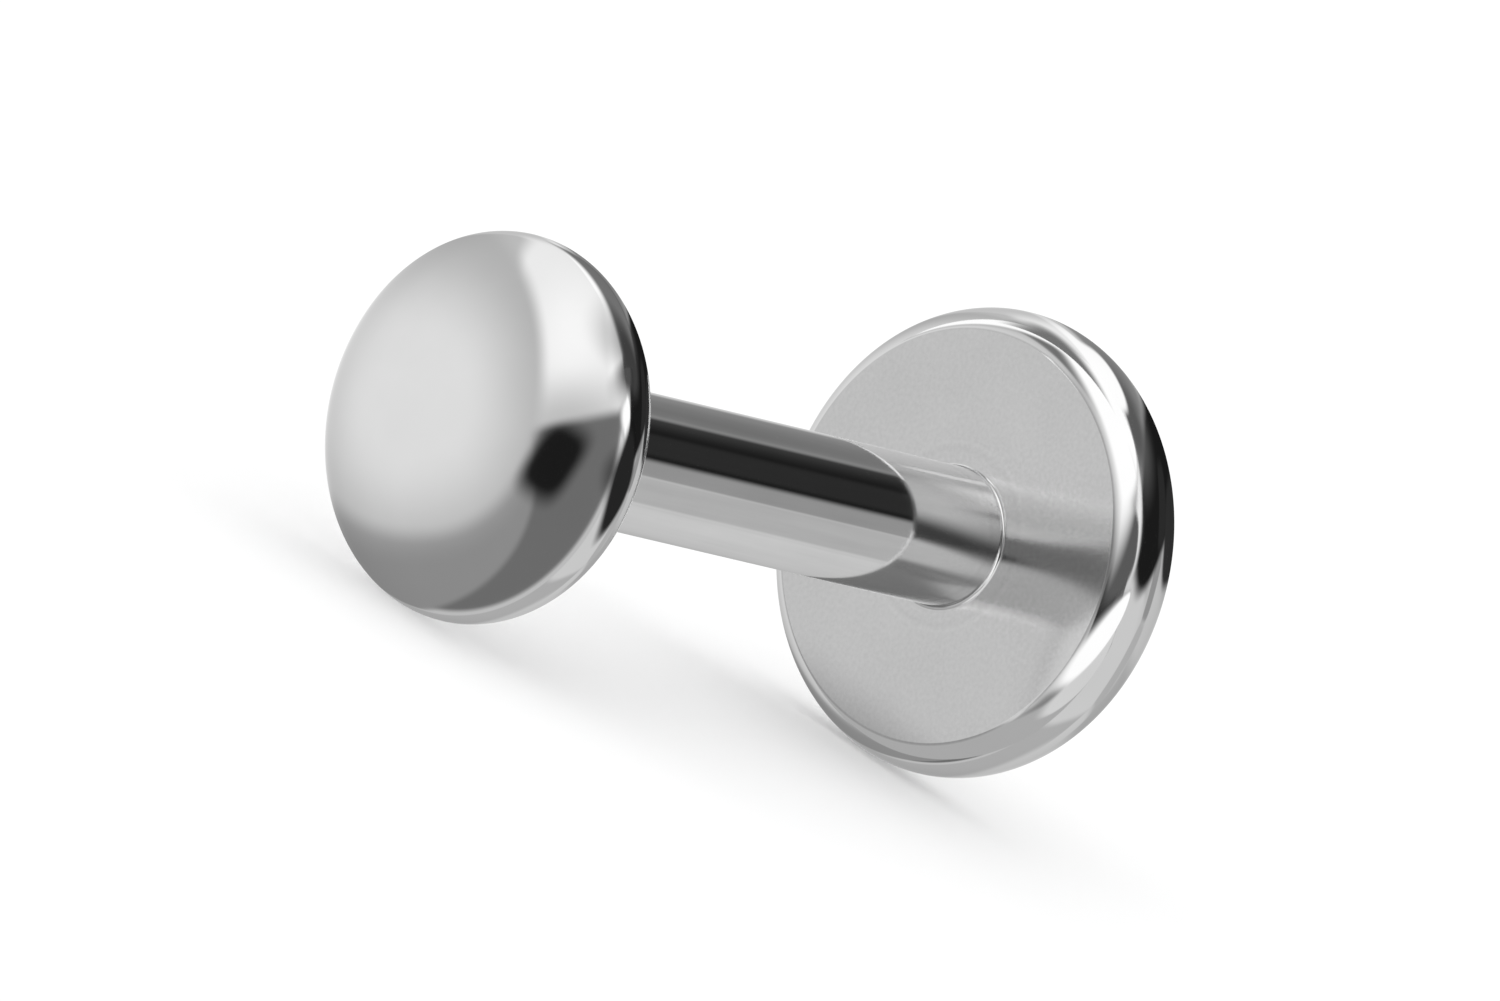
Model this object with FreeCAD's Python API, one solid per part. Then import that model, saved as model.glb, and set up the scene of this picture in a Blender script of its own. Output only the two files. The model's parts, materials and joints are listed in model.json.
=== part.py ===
import FreeCAD, Part
import math
import os

# Labret stud: a round post with a flat-backed base disc, and a domed top disc on a push-in pin.
# Lengths are in millimetres. The stud lies on its side on the rims of both discs, on the plane z = 0.
# Its axis lies over the X axis, with the base disc towards +X.

# Post
post_diameter = 1.2
working_length = 6.0  # free post between the facing sides of the two discs
post_end_break = 0.04
foot_fillet = 0.04

# Bore in the post and pin of the top disc
bore_diameter = 0.76
bore_depth = 5.0
drill_tip_angle = 118.0
pin_diameter = 0.70
pin_length = 4.6
pin_tip_break = 0.08

# Base disc, which has a flat facing side and a full rounded rim
base_diameter = 4.0
base_widest_depth = 0.366  # from the facing side to the widest circle
base_facing_round = 0.40
base_back_round = 0.50

# Top disc, whose front is one round dome that meets the rim round smoothly
top_diameter = 3.3
top_widest_depth = 0.24  # from the widest circle back to the facing side
top_rim_round = 0.27
dome_starts_deg = 38.0  # how far the surface has turned forwards where the rim round ends

# Gap between the end of the post and the top disc
seat_gap = 0.01

post_radius = post_diameter / 2
bore_radius = bore_diameter / 2
pin_radius = pin_diameter / 2
base_radius = base_diameter / 2
top_radius = top_diameter / 2
base_thickness = base_widest_depth + base_back_round

# Heights along the stud's own axis, from the facing side of the base disc towards the top disc
base_widest = -base_widest_depth
base_back = -base_thickness
post_end = working_length - seat_gap
top_facing = working_length
top_widest = top_facing + top_widest_depth

# Centres of the rims' round sections, as distances from the axis
base_facing_centre = base_radius - base_facing_round
base_back_centre = base_radius - base_back_round
top_rim_centre = top_radius - top_rim_round


def at(radius, height):
    """A point of a profile, which is drawn in the XZ plane and turned about Z."""
    return FreeCAD.Vector(radius, 0, height)


def towards(turn_deg, length):
    """A step of a length along the direction that is turned from straight outwards towards +Z."""
    turn = math.radians(turn_deg)
    return at(length * math.cos(turn), length * math.sin(turn))


# The dome's centre lies on the axis, in line with the rim round's centre and end
rim_centre = at(top_rim_centre, top_widest)
dome_round = top_rim_round + top_rim_centre / math.cos(math.radians(dome_starts_deg))
dome_centre = rim_centre + towards(dome_starts_deg, top_rim_round - dome_round)
crown = dome_centre.z + dome_round


def line(start, end):
    return Part.LineSegment(start, end).toShape()


def arc(centre, radius, start_deg, end_deg):
    """A round stretch about a centre. Angles are counted from straight outwards towards +Z."""
    angles = [start_deg, (start_deg + end_deg) / 2, end_deg]
    points = [centre + towards(angle, radius) for angle in angles]
    return Part.Arc(*points).toShape()


def turned(edges):
    """The solid that a closed profile sweeps round the stud's axis."""
    face = Part.Face(Part.Wire(edges))
    solid = face.revolve(FreeCAD.Vector(0, 0, 0), FreeCAD.Vector(0, 0, 1), 360)
    if solid.Volume < 0:
        solid.reverse()
    return solid


def chain(corners):
    """Straight edges through a list of profile points."""
    return [line(a, b) for a, b in zip(corners, corners[1:])]


def post_with_base_disc():
    """The post and the base disc, soldered into one piece, with the bore for the pin."""
    facing_edge_deg = math.degrees(math.asin(base_widest_depth / base_facing_round))
    facing_flat = base_facing_centre + base_facing_round * math.cos(math.radians(facing_edge_deg))
    tip_depth = bore_radius / math.tan(math.radians(drill_tip_angle / 2))
    bore_bottom = post_end - bore_depth

    edges = [line(at(0, base_back), at(base_back_centre, base_back))]
    edges.append(arc(at(base_back_centre, base_widest), base_back_round, -90, 0))
    edges.append(arc(at(base_facing_centre, base_widest), base_facing_round, 0, facing_edge_deg))
    edges.append(line(at(facing_flat, 0), at(post_radius + foot_fillet, 0)))
    edges.append(arc(at(post_radius + foot_fillet, foot_fillet), foot_fillet, 270, 180))
    edges += chain([
        at(post_radius, foot_fillet),
        at(post_radius, post_end - post_end_break),
        at(post_radius - post_end_break, post_end),
        at(bore_radius + post_end_break, post_end),
        at(bore_radius, post_end - post_end_break),
        at(bore_radius, bore_bottom),
        at(0, bore_bottom - tip_depth),
        at(0, base_back),
    ])
    return turned(edges)


def top_disc_with_pin():
    """The domed top disc and its pin, which are one piece."""
    facing_edge_deg = math.degrees(math.asin(top_widest_depth / top_rim_round))
    facing_flat = top_rim_centre + top_rim_round * math.cos(math.radians(facing_edge_deg))
    pin_end = top_facing - pin_length

    edges = chain([
        at(0, crown),
        at(0, pin_end),
        at(pin_radius - pin_tip_break, pin_end),
        at(pin_radius, pin_end + pin_tip_break),
        at(pin_radius, top_facing),
        at(facing_flat, top_facing),
    ])
    edges.append(arc(rim_centre, top_rim_round, -facing_edge_deg, dome_starts_deg))
    edges.append(arc(dome_centre, dome_round, dome_starts_deg, 90))
    return turned(edges)


def lying_tilt():
    """How far the axis leans down towards the smaller disc, in radians, when both rims touch the floor.

    Each disc meets the floor on a round of its rim. The two rounds reach equally low where
    across * cos(tilt) + rounds = along * sin(tilt).
    """
    across = base_facing_centre - top_rim_centre
    along = top_widest - base_widest
    rounds = base_facing_round - top_rim_round
    return math.asin(rounds / math.hypot(across, along)) + math.atan2(across, along)


def resting_place():
    """The placement that lays the stud on both rims, centred over the origin."""
    tilt = lying_tilt()
    lean = at(math.cos(tilt), math.sin(tilt))
    height = lean.dot(at(base_facing_centre, base_widest)) + base_facing_round
    # outermost points along the floor: the base disc's back round at one end, the dome at the other
    base_end = base_back_centre * math.sin(tilt) - base_widest * math.cos(tilt) + base_back_round
    top_end = dome_centre.z * math.cos(tilt) + dome_round
    # the stud's own +Z goes to -X and a little down
    turn = FreeCAD.Rotation(FreeCAD.Vector(0, 1, 0), -90 - math.degrees(tilt))
    return FreeCAD.Placement(FreeCAD.Vector((top_end - base_end) / 2, 0, height), turn)


pieces = {
    "post_with_base_disc": post_with_base_disc(),
    "top_disc_with_pin": top_disc_with_pin(),
}

os.makedirs("parts", exist_ok=True)
place = resting_place()
print("axis tilt, degrees:", round(math.degrees(lying_tilt()), 4))
print("middle of the facing side:", [round(v, 5) for v in place.Base])
print("axis towards the top disc:", [round(v, 6) for v in place.Rotation.multVec(FreeCAD.Vector(0, 0, 1))])
for name, piece in pieces.items():
    volume = piece.Volume
    piece.Placement = place
    piece.exportStep("parts/" + name + ".step")
    box = piece.BoundBox
    corners = [box.XMin, box.YMin, box.ZMin, box.XMax, box.YMax, box.ZMax]
    print(name, "volume", round(volume, 4), "valid", piece.isValid(), [round(v, 4) for v in corners])
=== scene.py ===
# %% [markdown]
# # A labret stud in polished steel
# The stud is two turned pieces: a post with a flat base disc, and a domed top disc whose pin goes into
# the post. The construction model gives their places and sizes, and this script gives them their looks.
# Everything is in metres, in the construction model's own frame.

import json
import math

import bpy
from mathutils import Matrix, Vector


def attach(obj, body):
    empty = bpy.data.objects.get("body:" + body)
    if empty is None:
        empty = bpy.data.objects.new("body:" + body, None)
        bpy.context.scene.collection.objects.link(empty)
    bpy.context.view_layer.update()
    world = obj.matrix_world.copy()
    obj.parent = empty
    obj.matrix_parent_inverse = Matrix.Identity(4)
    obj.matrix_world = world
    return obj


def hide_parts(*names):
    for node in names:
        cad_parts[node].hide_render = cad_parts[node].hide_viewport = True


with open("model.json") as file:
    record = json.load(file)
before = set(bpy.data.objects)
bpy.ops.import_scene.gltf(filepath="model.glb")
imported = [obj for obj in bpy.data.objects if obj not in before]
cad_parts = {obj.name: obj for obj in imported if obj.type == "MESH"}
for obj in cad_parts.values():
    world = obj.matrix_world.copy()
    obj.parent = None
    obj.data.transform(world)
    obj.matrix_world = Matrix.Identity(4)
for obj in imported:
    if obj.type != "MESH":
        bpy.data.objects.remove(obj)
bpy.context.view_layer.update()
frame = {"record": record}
MM = 0.001

# %% [markdown]
# The stud lies on the rims of both discs, so its own axis leans a little. The construction record says
# where the middle of the flat back is and which way it faces. Along the stud, heights count from the
# facing side of the base disc (0) towards the top disc, as the maker's drawing would give them.

# %% Where the stud lies
mounts = {mount["name"]: mount for mount in frame["record"]["mounts"]}
flat_back = mounts["flat_back"]
post_shaft = mounts["post_shaft"]
BASE_THICKNESS = 0.866 * MM
along = -Vector(flat_back["axis"]).normalized()
facing_middle = Vector(flat_back["pos_m"]) + along * BASE_THICKNESS
lie_down = Matrix.LocRotScale(facing_middle, Vector((0, 0, 1)).rotation_difference(along), None)
print("axis towards the top disc:", [round(v, 4) for v in along])

# %% [markdown]
# ## The camera
# The photograph was taken from far away with a long lens, so there is hardly any perspective. The
# direction comes from the flattened outlines of the discs, and the roll from the slope of the post. 

# %% Camera
PHOTO_WIDTH = 1500
PHOTO_HEIGHT = 1001
PIXELS_PER_MM = 119.6
BASE_CENTRE_PIXEL = (975.2, 542.9)  # the middle of the base disc's widest circle in the photograph
BASE_WIDEST = -0.366 * MM
LENS_MM = 1000
SENSOR_MM = 36
VIEW_ELEVATION = math.radians(8.0)
VIEW_AZIMUTH = math.radians(-142.3)
VIEW_ROLL = math.radians(28.19)
NEAREST_DRAWN = 0.01
FARTHEST_DRAWN = 10

to_camera = Vector((
    math.cos(VIEW_ELEVATION) * math.cos(VIEW_AZIMUTH),
    math.cos(VIEW_ELEVATION) * math.sin(VIEW_AZIMUTH),
    math.sin(VIEW_ELEVATION),
))
level_right = Vector((0, 0, 1)).cross(to_camera).normalized()
level_up = to_camera.cross(level_right)
right = level_right * math.cos(VIEW_ROLL) + level_up * math.sin(VIEW_ROLL)
up = to_camera.cross(right)

base_centre = lie_down @ Vector((0, 0, BASE_WIDEST))
across = (BASE_CENTRE_PIXEL[0] - PHOTO_WIDTH / 2) / PIXELS_PER_MM * MM
below = (BASE_CENTRE_PIXEL[1] - PHOTO_HEIGHT / 2) / PIXELS_PER_MM * MM
aim = base_centre - right * across + up * below
# the scale holds in the middle between the two discs, which lie at different distances
middle = lie_down @ Vector((0, 0, post_shaft["dims"]["length_mm"] / 2 * MM))
picture_width = PHOTO_WIDTH / PIXELS_PER_MM * MM
distance = picture_width * LENS_MM / SENSOR_MM + (middle - aim).dot(to_camera)


def add_to_scene(name, data):
    """A new object at the origin that shows the data."""
    made = bpy.data.objects.new(name, data)
    bpy.context.scene.collection.objects.link(made)
    return made


camera = add_to_scene("camera", bpy.data.cameras.new("camera"))
camera.data.lens = LENS_MM
camera.data.sensor_width = SENSOR_MM
camera.data.clip_start = NEAREST_DRAWN
camera.data.clip_end = FARTHEST_DRAWN
turned_to_stud = Matrix((right, up, to_camera)).transposed().to_4x4()
camera.matrix_world = Matrix.Translation(aim + to_camera * distance) @ turned_to_stud
bpy.context.scene.camera = camera
bpy.context.scene.view_settings.view_transform = "Standard"
print("camera distance, mm:", round(distance / MM, 1))

# %% [markdown]
# ## Node trees written as sums
# A shader or geometry tree is easier to read as arithmetic than as a drawing of boxes. `Number` wraps
# one output of a node and adds Math nodes when it is used in a sum. `Tree` adds every other node: its
# settings go first, and then the values or links of its inputs.


# %% Arithmetic on node sockets
class Number:
    def __init__(self, tree, socket):
        self.tree = tree
        self.socket = socket

    def math(self, operation, *others):
        return self.tree.number("ShaderNodeMath", {"operation": operation}, [self, *others])

    def __add__(self, other):
        return self.math("ADD", other)

    def __radd__(self, other):
        return self.math("ADD", other)

    def __sub__(self, other):
        return self.math("SUBTRACT", other)

    def __rsub__(self, other):
        return self.tree.number("ShaderNodeMath", {"operation": "SUBTRACT"}, [other, self])

    def __mul__(self, other):
        return self.math("MULTIPLY", other)

    def __rmul__(self, other):
        return self.math("MULTIPLY", other)

    def __truediv__(self, other):
        return self.math("DIVIDE", other)

    def __pow__(self, other):
        return self.math("POWER", other)

    def __abs__(self):
        return self.math("ABSOLUTE")

    def ramp(self, low, high):
        """A smooth step from 0 at low to 1 at high, where low may be the larger one."""
        settings = {"interpolation_type": "SMOOTHSTEP"}
        inputs = {"Value": self, "From Min": low, "From Max": high}
        return self.tree.number("ShaderNodeMapRange", settings, inputs)


class Tree:
    def __init__(self, node_tree):
        self.node_tree = node_tree

    def node(self, kind, settings=None, inputs=None):
        made = self.node_tree.nodes.new(kind)
        for name, value in (settings or {}).items():
            setattr(made, name, value)
        pairs = inputs.items() if isinstance(inputs, dict) else enumerate(inputs or [])
        for name, value in pairs:
            socket = made.inputs[name]
            if isinstance(value, Number):
                value = value.socket
            if isinstance(value, bpy.types.NodeSocket):
                self.node_tree.links.new(value, socket)
            else:
                socket.default_value = value
        return made

    def number(self, kind, settings=None, inputs=None, output=0):
        return Number(self, self.node(kind, settings, inputs).outputs[output])

    def parts(self, vector):
        """The three numbers of a vector."""
        split = self.node("ShaderNodeSeparateXYZ", None, [vector])
        return [Number(self, socket) for socket in split.outputs]

    def join(self, x, y, z):
        """The vector of three numbers."""
        return self.node("ShaderNodeCombineXYZ", None, [x, y, z]).outputs[0]

    def in_mm(self, vector):
        """A place in metres, given in millimetres."""
        inputs = {0: vector, "Scale": 1 / MM}
        return self.node("ShaderNodeVectorMath", {"operation": "SCALE"}, inputs).outputs[0]


def new_material(name):
    """A material with an empty tree."""
    material = bpy.data.materials.new(name)
    material.use_nodes = True
    material.node_tree.nodes.clear()
    return material, Tree(material.node_tree)


print("operations of a Number:", [name for name in vars(Number) if callable(getattr(Number, name))])

# %% [markdown]
# ## A lathe made of geometry nodes
# Both pieces are turned, so one rule makes them: a profile sweeps round the axis. The tree takes the
# points of a profile, lays them out on a grid whose other direction is the angle, and welds the seam
# and the poles. Spinning the profile in mesh code would do the same, but a tree keeps the number of
# sides and the place as named inputs that can be changed later.

# %% The lathe
LATHE_INPUTS = {
    "Profile": "NodeSocketGeometry",
    "Sides": "NodeSocketInt",
    "Profile points": "NodeSocketInt",
    "Weld distance": "NodeSocketFloat",
    "Resting place": "NodeSocketVector",
    "Turn": "NodeSocketVector",
    "Finish": "NodeSocketMaterial",
}


def lathe_tree():
    group = bpy.data.node_groups.new("lathe", "GeometryNodeTree")
    for name, kind in LATHE_INPUTS.items():
        group.interface.new_socket(name, in_out="INPUT", socket_type=kind)
    group.interface.new_socket("Turned piece", in_out="OUTPUT", socket_type="NodeSocketGeometry")
    tree = Tree(group)
    given = tree.node("NodeGroupInput").outputs
    sides = Number(tree, given["Sides"])
    points = Number(tree, given["Profile points"])
    on_points = {"data_type": "FLOAT_VECTOR", "domain": "POINT"}

    # a grid of one by one, with the angle along x and the profile's points along y
    counts = {"Size X": 1.0, "Size Y": 1.0, "Vertices X": sides + 1, "Vertices Y": points}
    grid = tree.node("GeometryNodeMeshGrid", None, counts).outputs["Mesh"]
    position = tree.node("GeometryNodeInputPosition").outputs[0]
    x, y, _ = tree.parts(position)
    angle = (x + 0.5) * math.tau
    step = ((y + 0.5) * (points - 1)).math("ROUND")

    wanted = {"Geometry": given["Profile"], "Value": position, "Index": step}
    found = tree.node("GeometryNodeSampleIndex", on_points, wanted)
    radius, _, height = tree.parts(found.outputs["Value"])
    spun = tree.join(radius * angle.math("COSINE"), radius * angle.math("SINE"), height)

    def then(kind, geometry, inputs=None, settings=None):
        return tree.node(kind, settings, {"Geometry": geometry, **(inputs or {})}).outputs[0]

    piece = then("GeometryNodeSetPosition", grid, {"Position": spun})
    piece = then("GeometryNodeMergeByDistance", piece, {"Distance": given["Weld distance"]})
    own_place = {"Name": "lathe", "Value": position}
    piece = then("GeometryNodeStoreNamedAttribute", piece, own_place, on_points)
    piece = then("GeometryNodeSetShadeSmooth", piece)
    placing = {"Translation": given["Resting place"], "Rotation": given["Turn"]}
    piece = then("GeometryNodeTransform", piece, placing)
    piece = then("GeometryNodeRealizeInstances", piece)
    piece = then("GeometryNodeSetMaterial", piece, {"Material": given["Finish"]})
    tree.node("NodeGroupOutput", None, [piece])
    return group


lathe = lathe_tree()
print("lathe nodes:", len(lathe.nodes))

# %% [markdown]
# The profile itself is a row of points in the plane of the axis, made of straight runs and round
# stretches. Angles count from straight outwards towards the top disc, as in the construction model. The
# round stretches get many points, because a mirror finish shows every flat.

# %% Profile pieces
SIDES = 288
WELD = 0.00002 * MM
SHARP_EDGE = math.radians(25)
SAME_POINT_MM = 1e-7


def arc(centre, radius, start_deg, end_deg, steps):
    """Points of a round stretch, both ends included."""
    turns = [math.radians(start_deg + (end_deg - start_deg) * i / steps) for i in range(steps + 1)]
    return [(centre[0] + radius * math.cos(t), centre[1] + radius * math.sin(t)) for t in turns]


def turn_on_lathe(name, profile, finish):
    """A plain mesh object turned from a profile in millimetres, lying where the stud lies."""
    pairs = zip(profile, profile[1:])
    points = [p for p, q in pairs if math.dist(p, q) > SAME_POINT_MM] + [profile[-1]]
    blank = bpy.data.meshes.new(name + "_profile")
    blank.from_pydata([(r * MM, 0, h * MM) for r, h in points], [], [])
    helper = add_to_scene(name + "_profile", blank)
    modifier = helper.modifiers.new("lathe", "NODES")
    modifier.node_group = lathe
    values = {
        "Sides": SIDES,
        "Profile points": len(points),
        "Weld distance": WELD,
        "Resting place": facing_middle,
        "Turn": lie_down.to_euler(),
        "Finish": finish,
    }
    for item in lathe.interface.items_tree:
        if item.name in values:
            modifier[item.identifier] = values[item.name]
    made = helper.evaluated_get(bpy.context.evaluated_depsgraph_get())
    mesh = bpy.data.meshes.new_from_object(made)
    helper.modifiers.remove(modifier)
    bpy.data.objects.remove(helper)
    mesh.set_sharp_from_angle(angle=SHARP_EDGE)
    print(name, "faces:", len(mesh.polygons), "vertices:", len(mesh.vertices))
    return add_to_scene(name, mesh)


print("sides of a turned piece:", SIDES)

# %% [markdown]
# ## Polished steel
# Both pieces are one metal: neutral steel, tumbled and buffed to a mirror. A mirror finish is still not
# perfect. It has faint haze where it was handled, and very fine lines that run round the axis from
# turning. The post also has faint lines along its length, where it was drawn. The facing side of the
# base disc was only turned, not buffed, so it is satin: a fine grain with faint rings round the foot of
# the post. The patterns read the `lathe` attribute, which is each point's own place before the piece was
# laid down, so that they stay centred on the axis. The patterns count in millimetres.

# %% Steel
STEEL = 0.60  # how much light the metal mirrors
EDGE_TINT = 0.76  # keeps the grazing edges from going white
BUMP_STRENGTH = 0.25
BUMP_DISTANCE = 0.0005 * MM
# each pattern is the scale and the detail of a noise
HAZE = (1.3, 3.0)
HAZE_ROUGHNESS = 0.03
HAZE_COLOUR = 0.05
POLISHED_ROUGHNESS = 0.045
FINE_RINGS = (60.0, 4.0)
FINE_RINGS_BUMP = 0.10
# the satin face
GRAIN = (26.0, 5.0)
GRAIN_ROUGHNESS = 0.06
GRAIN_BUMP = 0.9
GRAIN_COLOUR = 0.09
TURNED_RINGS = (14.0, 3.0)
TURNED_RINGS_BUMP = 0.5
FOOT_RINGS_COLOUR = 0.12
FOOT_RINGS_REACH = 0.45
SATIN_ROUGHNESS = 0.07
SATIN_DARKER = 0.17
LEVEL_NEAR = 0.004  # the satin is full this far off the face's level
LEVEL_FAR = 0.02  # and gone at this distance
EDGE_FADE = 0.01
# the post
DRAWN_LINES = (11.0, 4.0)
DRAWN_STRETCH = 0.06  # draws the noise out along the post
DRAWN_COLOUR = 0.10
SHAFT_FADE = 0.015


def steel(name, satin_inside=None, satin_outside=None):
    """Mirror-polished steel. Between the two radii, on the facing side, it has a satin turned finish."""
    material, tree = new_material(name)
    place = tree.in_mm(tree.node("ShaderNodeAttribute", {"attribute_name": "lathe"}).outputs["Vector"])
    x, y, height = tree.parts(place)
    radius = (x * x + y * y) ** 0.5

    def noise(vector, pattern):
        scale, detail = pattern
        inputs = {"Vector": vector, "Scale": scale, "Detail": detail}
        return tree.number("ShaderNodeTexNoise", None, inputs)

    haze = noise(place, HAZE)
    rings_at = tree.join(radius, height, 0.0)
    fine_rings = noise(rings_at, FINE_RINGS)
    roughness = POLISHED_ROUGHNESS + HAZE_ROUGHNESS * haze
    bump_height = FINE_RINGS_BUMP * fine_rings
    colour = STEEL + HAZE_COLOUR * (haze - 0.5)

    if satin_inside:
        on_level = height.ramp(-LEVEL_FAR, -LEVEL_NEAR) * (1 - height.ramp(LEVEL_NEAR, LEVEL_FAR))
        past_foot = radius.ramp(satin_inside - EDGE_FADE, satin_inside + EDGE_FADE)
        past_edge = radius.ramp(satin_outside - 2 * EDGE_FADE, satin_outside)
        face = on_level * past_foot * (1 - past_edge)
        grain = noise(place, GRAIN)
        turned_rings = noise(rings_at, TURNED_RINGS)
        near_foot = radius.ramp(satin_inside + FOOT_RINGS_REACH, satin_inside)
        foot_rings = near_foot * (turned_rings - 0.5)
        roughness = roughness + face * (SATIN_ROUGHNESS + GRAIN_ROUGHNESS * (grain - 0.5))
        bump_height = bump_height + face * (GRAIN_BUMP * grain + TURNED_RINGS_BUMP * turned_rings)
        satin = GRAIN_COLOUR * (grain - 0.5) + FOOT_RINGS_COLOUR * foot_rings - SATIN_DARKER
        colour = colour + face * satin

        drawn = noise(tree.join(x, y, height * DRAWN_STRETCH), DRAWN_LINES)
        on_shaft = radius.ramp(satin_inside, satin_inside - SHAFT_FADE)
        colour = colour + on_shaft * DRAWN_COLOUR * (drawn - 0.5)

    relief = {"Height": bump_height, "Strength": BUMP_STRENGTH, "Distance": BUMP_DISTANCE}
    bump = tree.node("ShaderNodeBump", None, relief)
    grey = tree.node("ShaderNodeCombineColor", None, [colour, colour, colour])
    shader = tree.node("ShaderNodeBsdfPrincipled", None, {
        "Base Color": grey.outputs[0],
        "Metallic": 1.0,
        "Roughness": roughness,
        "Normal": bump.outputs[0],
        "Specular Tint": (EDGE_TINT, EDGE_TINT, EDGE_TINT, 1),
    })
    tree.node("ShaderNodeOutputMaterial", None, [shader.outputs[0]])
    print(name, "nodes:", len(material.node_tree.nodes))
    return material


# %% [markdown]
# ## The post with its base disc
# The profile starts at the middle of the flat back, goes round the rim and over the satin facing side,
# and up the post. The edge between the flat and the rim is eased, and so are the post's end and the
# mouth of the bore, because a worn jewel has no sharp edges and each eased edge catches a thin light.
# Lengths are in millimetres.

# %% Post and base disc
POST_RADIUS = post_shaft["dims"]["r_mm"]
POST_END = 5.99
POST_END_BREAK = 0.04
FOOT_FILLET = 0.04
BORE_RADIUS = 0.38
BORE_DEPTH = 5.0
DRILL_TIP = math.radians(118)
BASE_RADIUS = 2.0
BASE_FACING_ROUND = 0.40
BASE_BACK_ROUND = 0.50
BASE_EDGE_EASE = 0.015
BACK_STEPS = 40
FACING_STEPS = 36
EASE_STEPS = 6
SMALL_ROUND_STEPS = 8
widest = BASE_WIDEST / MM
facing_centre = BASE_RADIUS - BASE_FACING_ROUND
back_centre = BASE_RADIUS - BASE_BACK_ROUND
# the easing touches the flat and the inside of the rim round
ease_height = -BASE_EDGE_EASE
ease_rise = ease_height - widest
ease_reach = math.sqrt((BASE_FACING_ROUND - BASE_EDGE_EASE) ** 2 - ease_rise ** 2)
ease_centre = (facing_centre + ease_reach, ease_height)
ease_from_deg = math.degrees(math.atan2(ease_rise, ease_reach))
break_height = POST_END - POST_END_BREAK
foot_centre = (POST_RADIUS + FOOT_FILLET, FOOT_FILLET)
end_centre = (POST_RADIUS - POST_END_BREAK, break_height)
mouth_centre = (BORE_RADIUS + POST_END_BREAK, break_height)
bore_bottom = POST_END - BORE_DEPTH
bore_tip = bore_bottom - BORE_RADIUS / math.tan(DRILL_TIP / 2)

post_profile = [(0, -BASE_THICKNESS / MM)]
post_profile += arc((back_centre, widest), BASE_BACK_ROUND, -90, 0, BACK_STEPS)
post_profile += arc((facing_centre, widest), BASE_FACING_ROUND, 0, ease_from_deg, FACING_STEPS)[1:]
post_profile += arc(ease_centre, BASE_EDGE_EASE, ease_from_deg, 90, EASE_STEPS)[1:]
post_profile += arc(foot_centre, FOOT_FILLET, 270, 180, SMALL_ROUND_STEPS)
post_profile += arc(end_centre, POST_END_BREAK, 0, 90, SMALL_ROUND_STEPS)
post_profile += arc(mouth_centre, POST_END_BREAK, 90, 180, SMALL_ROUND_STEPS)
post_profile += [(BORE_RADIUS, bore_bottom), (0, bore_tip)]

satin_from = POST_RADIUS + FOOT_FILLET / 2
satin_to = ease_centre[0] + 2 * BASE_EDGE_EASE
post_steel = steel("post_steel", satin_from, satin_to)
post = turn_on_lathe("post_with_base_disc_turned", post_profile, post_steel)
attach(post, "post")
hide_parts("post_with_base_disc")

# %% [markdown]
# ## The top disc with its pin
# The front is one round dome, as a buffed button has. It meets the small round of the rim smoothly, and
# the facing side is flat, with the pin in its middle.

# %% Top disc
TOP_RADIUS = 1.65
TOP_FACING = 6.0
TOP_WIDEST = 6.24
TOP_RIM_ROUND = 0.27
DOME_STARTS_DEG = 38.0
PIN_RADIUS = 0.35
PIN_LENGTH = 4.6
PIN_TIP_BREAK = 0.08
RIM_STEPS = 48
DOME_STEPS = 72
dome_starts = math.radians(DOME_STARTS_DEG)
rim_centre = (TOP_RADIUS - TOP_RIM_ROUND, TOP_WIDEST)
dome_round = TOP_RIM_ROUND + rim_centre[0] / math.cos(dome_starts)
dome_centre = (0, TOP_WIDEST + (TOP_RIM_ROUND - dome_round) * math.sin(dome_starts))
facing_edge_deg = math.degrees(math.asin((TOP_WIDEST - TOP_FACING) / TOP_RIM_ROUND))
pin_end = TOP_FACING - PIN_LENGTH

top_profile = [(0, pin_end), (PIN_RADIUS - PIN_TIP_BREAK, pin_end)]
top_profile += [(PIN_RADIUS, pin_end + PIN_TIP_BREAK), (PIN_RADIUS, TOP_FACING)]
top_profile += arc(rim_centre, TOP_RIM_ROUND, -facing_edge_deg, DOME_STARTS_DEG, RIM_STEPS)
top_profile += arc(dome_centre, dome_round, DOME_STARTS_DEG, 90, DOME_STEPS)[1:]

top_steel = steel("top_steel")
top = turn_on_lathe("top_disc_turned", top_profile, top_steel)
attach(top, "top")
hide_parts("top_disc_with_pin")

# %% [markdown]
# ## The studio
# A mirror shows the room rather than itself, so the room is part of the finish. It is a white tent with
# a few dark flags, which give the metal its dark bands. Here the tent is the world's light. A mirror
# ball in place of the stud would show the camera the whole tent in one round picture, so the tent is
# planned on that picture: `x` and `y` run from -1 to 1 across the ball, the camera sees itself in the
# middle, and what stands behind the stud lies round the edge. Each row of the table is one soft patch,
# laid over the rows before it, with the grey that the metal shows there. Only mirror rays see the
# patches. The floor and the shadows get plain white light.

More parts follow.
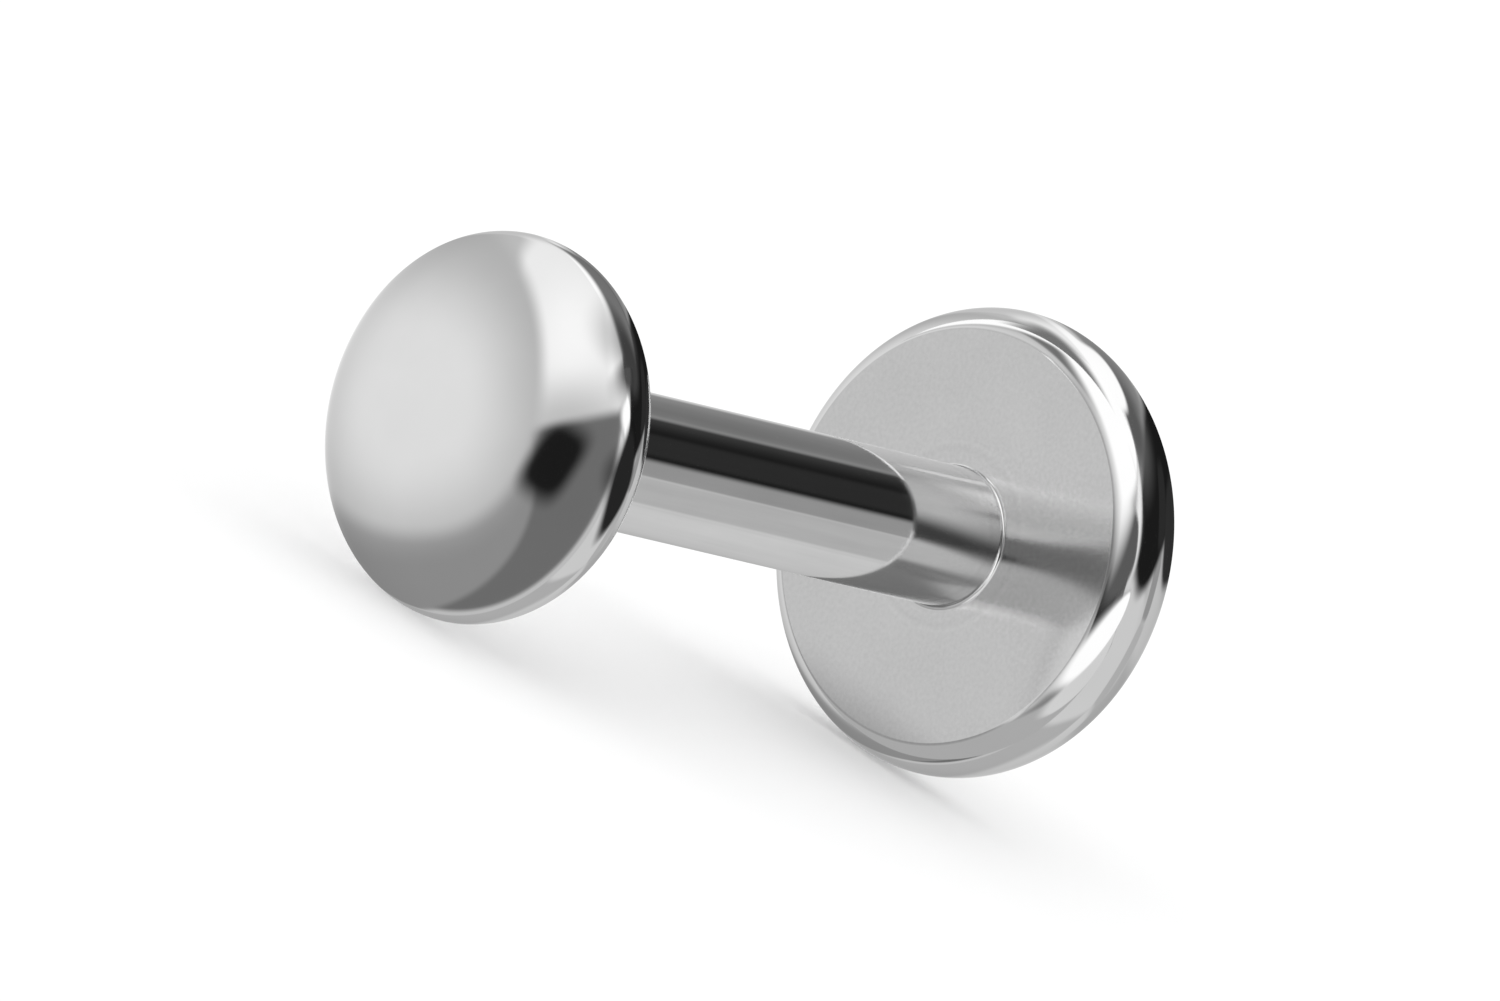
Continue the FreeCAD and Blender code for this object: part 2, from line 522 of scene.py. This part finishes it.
# %% Plan of the tent
COLUMNS = (
    "name", "x", "y", "half_width", "half_height", "roll", "squareness", "softness", "top", "grey",
)
UNCUT = 9
TENT = [
    ("low_light", 0.28, -0.38, 0.41, 0.31, -12, 2.5, 0.08, UNCUT, 200),
    ("low_rim", 0.20, -0.95, 0.34, 0.12, 14, 2, 0.40, UNCUT, 196),
    ("right_light", 0.80, -0.35, 0.16, 0.22, 25, 2, 0.40, UNCUT, 192),
    ("post_grey", 0.745, -0.19, 0.05, 0.147, -15, 4, 0.12, UNCUT, 144),
    ("post_shade", 0.61, -0.515, 0.055, 0.21, -30, 4, 0.12, UNCUT, 173),
    ("post_light", 0.31, -0.845, 0.05, 0.24, -56, 4, 0.15, UNCUT, 197),
    ("top_light", -0.12, 0.90, 0.60, 0.18, 0, 3, 0.15, UNCUT, 200),
    ("top_grey", 0.58, 0.76, 0.26, 0.17, -35, 2.5, 0.20, UNCUT, 142),
    ("flag", 0.68, 0.19, 0.42, 0.26, 41, 2.5, 0.12, UNCUT, 26),
    ("flag_pale", 0.79, 0.15, 0.06, 0.18, -5, 3, 0.20, UNCUT, 42),
    ("flag_haze", 0.46, 0.52, 0.21, 0.24, 0, 2, 0.70, UNCUT, 88),
    ("flag_edge", 0.94, 0.00, 0.10, 0.22, 0, 2.5, 0.15, UNCUT, 46),
    ("edge_line", -0.378, 0.0915, 0.640, 0.820, -13.6, 2, 0.02, UNCUT, 188),
    ("window", 0.08, 0.42, 0.28, 0.50, 4, 3.5, 0.10, UNCUT, 234),
    ("window_shine", 0.02, 0.48, 0.13, 0.17, 0, 2, 0.90, UNCUT, 247),
    ("window_side", 0.235, 0.52, 0.075, 0.42, 4, 3.5, 0.20, UNCUT, 254),
    ("window_corner", 0.32, 0.70, 0.17, 0.14, -10, 2.5, 0.15, UNCUT, 254),
    ("window_foot", -0.02, 0.08, 0.26, 0.15, 8, 2, 0.80, UNCUT, 190),
    ("card", -0.378, 0.0915, 0.595, 0.775, -13.6, 2, 0.015, 0.10, 106),
    ("under", -0.68, -0.12, 0.55, 0.56, 0, 2, 0.03, UNCUT, 138),
    ("box", -0.62, 0.32, 0.52, 0.68, 0, 2.2, 0.07, UNCUT, 178),
    ("glow", -0.64, 0.22, 0.40, 0.48, 0, 2.2, 0.50, UNCUT, 220),
    ("lens", -0.055, -0.06, 0.095, 0.165, -33, 3.5, 0.35, 0.10, 26),
]
CUT_SLOPE = 0.2
CUT_SOFTNESS = 0.03
GROUND_GREY = 170
PLAIN_LIGHT = 1.14
TWICE_MIRRORED = 1.55  # how much brighter the tent is for light that two bounces bring
TWICE_MIRRORED_HAZE = 0.3  # the least light that two bounces bring
MOST_BOUNCES_OF_ONCE = 2.5  # the world counts itself as one more bounce
print("patches of the tent:", len(TENT))

# %% [markdown]
# A patch is a rounded box: the larger its squareness, the squarer it is. Its edge fades over its
# softness, and a few patches are also cut off along a straight top edge. The same function lays the
# patches of the tent and those of the near screens below, each on its own two numbers.


# %% Laying the patches
def light_for(grey):
    """The brightness that the steel shows as a grey of 0 to 255 on the screen."""
    share = grey / 255
    seen = share / 12.92 if share <= 0.04045 else ((share + 0.055) / 1.055) ** 2.4
    return seen / STEEL


def lay_patches(tree, x, y, rows, tone):
    """Lay each patch over the tone so far, and also return how much of the place they cover together."""
    bare = 1.0
    for row in rows:
        patch = dict(zip(COLUMNS, row))
        turn = math.radians(patch["roll"])
        east = x - patch["x"]
        north = y - patch["y"]
        wide = abs(east * math.cos(turn) + north * math.sin(turn)) / patch["half_width"]
        high = abs(north * math.cos(turn) - east * math.sin(turn)) / patch["half_height"]
        corner = patch["squareness"]
        reach = (wide ** corner + high ** corner) ** (1 / corner)
        mask = reach.ramp(1 + patch["softness"], 1 - patch["softness"])
        if patch["top"] != UNCUT:
            cut = y - x * CUT_SLOPE
            mask = mask * cut.ramp(patch["top"] + CUT_SOFTNESS, patch["top"] - CUT_SOFTNESS)
        tone = tone + (light_for(patch["grey"]) - tone) * mask
        bare = bare * (1 - mask)
    return tone, 1 - bare


def tent():
    world = bpy.data.worlds.new("tent")
    bpy.context.scene.world = world
    world.use_nodes = True
    world.node_tree.nodes.clear()
    world.cycles.sampling_method = "NONE"
    tree = Tree(world.node_tree)

    def vector_math(operation, *vectors, output=0):
        made = tree.node("ShaderNodeVectorMath", {"operation": operation}, vectors)
        return made.outputs[output]

    # the ball's surface faces halfway between the camera and what it mirrors
    direction = tree.node("ShaderNodeTexCoord").outputs["Generated"]
    halfway = vector_math("ADD", direction, to_camera)
    facing = vector_math("NORMALIZE", halfway)
    x = Number(tree, vector_math("DOT_PRODUCT", facing, right, output="Value"))
    y = Number(tree, vector_math("DOT_PRODUCT", facing, up, output="Value"))
    tone, _ = lay_patches(tree, x, y, TENT, light_for(GROUND_GREY))
    bounces = tree.number("ShaderNodeLightPath", None, None, "Ray Depth")
    twice = bounces.math("GREATER_THAN", MOST_BOUNCES_OF_ONCE)
    tone = tone * (1 + (TWICE_MIRRORED - 1) * twice) + TWICE_MIRRORED_HAZE * twice
    mirror_ray = tree.number("ShaderNodeLightPath", None, None, "Is Glossy Ray")
    seen = PLAIN_LIGHT + (tone - PLAIN_LIGHT) * mirror_ray
    background = tree.node("ShaderNodeBackground", None, {"Color": seen})
    tree.node("ShaderNodeOutputWorld", None, [background.outputs[0]])
    print("tent nodes:", len(world.node_tree.nodes))


tent()

# %% [markdown]
# The tent is far away, so both discs see the same of it. In the photograph they don't: what stands close
# to the stud shows at a different place in each disc. Three small screens stand for that. One stands
# across the stud's line and shines only towards the base disc. One stands beside the top disc, and one
# hangs over it. They give its rim a band that runs from grey into dark, and a bright spot on the inner
# side of that band. Each is a plain sheet that only mirror rays meet, from one side, and it is planned
# with the same kind of patches as the tent, here in millimetres on the sheet. The overhead one is left
# out of what the steel mirrors twice.

# %% Near screens
# a sheet is a level on its axis, and then two directions, each an axis and two ends, in millimetres
BASE_SHEET = (("x", 1.46), ("y", -30, 24), ("z", -28, 55))
BASE_SCREEN = [
    ("low_grey", -4.0, -14.0, 16.0, 13.6, 0, 6, 0.03, UNCUT, 168),
    ("low_light", -12.0, -3.2, 9.6, 3.4, 24, 2.5, 0.06, UNCUT, 207),
    ("dim_strip", -4.0, 4.0, 2.7, 1.2, -35, 3, 0.25, UNCUT, 88),
    ("white_card", -7.2, 2.1, 5.5, 1.25, -16, 2.5, 0.15, UNCUT, 255),
    ("white_sheet", 3.1, 28.6, 11.5, 26.0, -12, 1.25, 0.04, UNCUT, 255),
    ("high_sheet", 10.5, 16.0, 11.0, 10.6, 0, 3, 0.08, UNCUT, 255),
    ("face_streak", 0.80, 4.15, 0.18, 0.80, -30, 4, 0.30, UNCUT, 305),
    ("face_light", -1.1, 0.65, 0.75, 1.3, 0, 4, 0.12, UNCUT, 235),
    ("face_dark", -1.1, 2.3, 0.65, 0.33, -25, 3, 0.25, UNCUT, 148),
]
TOP_SHEET = (("y", -4.0), ("x", 5, -25), ("z", -1, 60))
TOP_SCREEN = [
    ("upper_card", -4.6, 7.9, 1.7, 2.4, 0, 2, 0.45, UNCUT, 78),
    ("bright_card", -4.5, 4.45, 0.64, 1.15, 25, 2, 0.25, UNCUT, 255),
    ("dark_card", -2.75, 2.2, 2.0, 1.45, -35, 3, 0.25, UNCUT, 36),
]
OVERHEAD_SHEET = (("z", 8.0), ("x", 9, -9), ("y", -9, 9))
OVERHEAD_SCREEN = [
    ("rim_card", -0.42, 0.51, 2.04, 5.8, -33, 6, 0.28, UNCUT, 114),
    ("rim_dim", -2.6, -3.6, 3.2, 2.6, -33, 2, 0.60, UNCUT, 62),
]
ANY_BOUNCES = 3
ONE_BOUNCE = 1
HIDDEN_FROM = ("camera", "diffuse", "shadow", "transmission", "volume_scatter")


def near_screen(name, level, across, onward, rows, most_bounces):
    """A sheet that mirror rays see from one side.

    That side is where a right hand's thumb points, when its fingers curl from across to onward.
    """
    material, tree = new_material(name)
    place = tree.in_mm(tree.node("ShaderNodeTexCoord").outputs["Object"])
    place = dict(zip("xyz", tree.parts(place)))
    tone, cover = lay_patches(tree, place[across[0]], place[onward[0]], rows, 0.0)
    front = 1 - tree.number("ShaderNodeNewGeometry", None, None, "Backfacing")
    bounces = tree.number("ShaderNodeLightPath", None, None, "Ray Depth")
    meets = cover * front * bounces.math("LESS_THAN", most_bounces + 0.5)
    shine = tree.node("ShaderNodeEmission", None, {"Color": tone})
    clear = tree.node("ShaderNodeBsdfTransparent")
    mixed = tree.node("ShaderNodeMixShader", None, [meets, clear.outputs[0], shine.outputs[0]])
    tree.node("ShaderNodeOutputMaterial", None, [mixed.outputs[0]])

    corners = []
    for a, b in ((1, 1), (2, 1), (2, 2), (1, 2)):
        corner = {level[0]: level[1], across[0]: across[a], onward[0]: onward[b]}
        corners.append(Vector([corner[axis] for axis in "xyz"]) * MM)
    mesh = bpy.data.meshes.new(name)
    mesh.from_pydata(corners, [], [(0, 1, 2, 3)])
    mesh.materials.append(material)
    screen = add_to_scene(name, mesh)
    for ray in HIDDEN_FROM:
        setattr(screen, "visible_" + ray, False)
    print(name, "faces", [round(v) for v in mesh.polygons[0].normal])
    return screen


near_screen("base_screen", *BASE_SHEET, BASE_SCREEN, ANY_BOUNCES)
near_screen("top_screen", *TOP_SHEET, TOP_SCREEN, ANY_BOUNCES)
near_screen("overhead_screen", *OVERHEAD_SHEET, OVERHEAD_SCREEN, ONE_BOUNCE)

# %% [markdown]
# ## The floor
# The stud lies on a plain white floor, which only has to catch a soft shadow where the rims touch it. A
# flat disc is enough. The metal doesn't mirror it, because the tent's plan already holds what the lower
# half of the steel shows.

# %% Floor
FLOOR_RADIUS = 0.4
FLOOR_CORNERS = 96
FLOOR_WHITE = 0.93


def floor_disc():
    material = bpy.data.materials.new("floor_white")
    material.use_nodes = True
    shader = material.node_tree.nodes["Principled BSDF"]
    shader.inputs["Base Color"].default_value = (FLOOR_WHITE, FLOOR_WHITE, FLOOR_WHITE, 1)
    shader.inputs["Roughness"].default_value = 1.0
    shader.inputs["Specular IOR Level"].default_value = 0.0
    turns = [i * math.tau / FLOOR_CORNERS for i in range(FLOOR_CORNERS)]
    ring = [(FLOOR_RADIUS * math.cos(t), FLOOR_RADIUS * math.sin(t), 0) for t in turns]
    mesh = bpy.data.meshes.new("floor")
    mesh.from_pydata(ring, [], [list(range(FLOOR_CORNERS))])
    mesh.materials.append(material)
    made = add_to_scene("floor", mesh)
    made.visible_glossy = False
    return made


floor = floor_disc()
print("floor radius, mm:", FLOOR_RADIUS / MM)
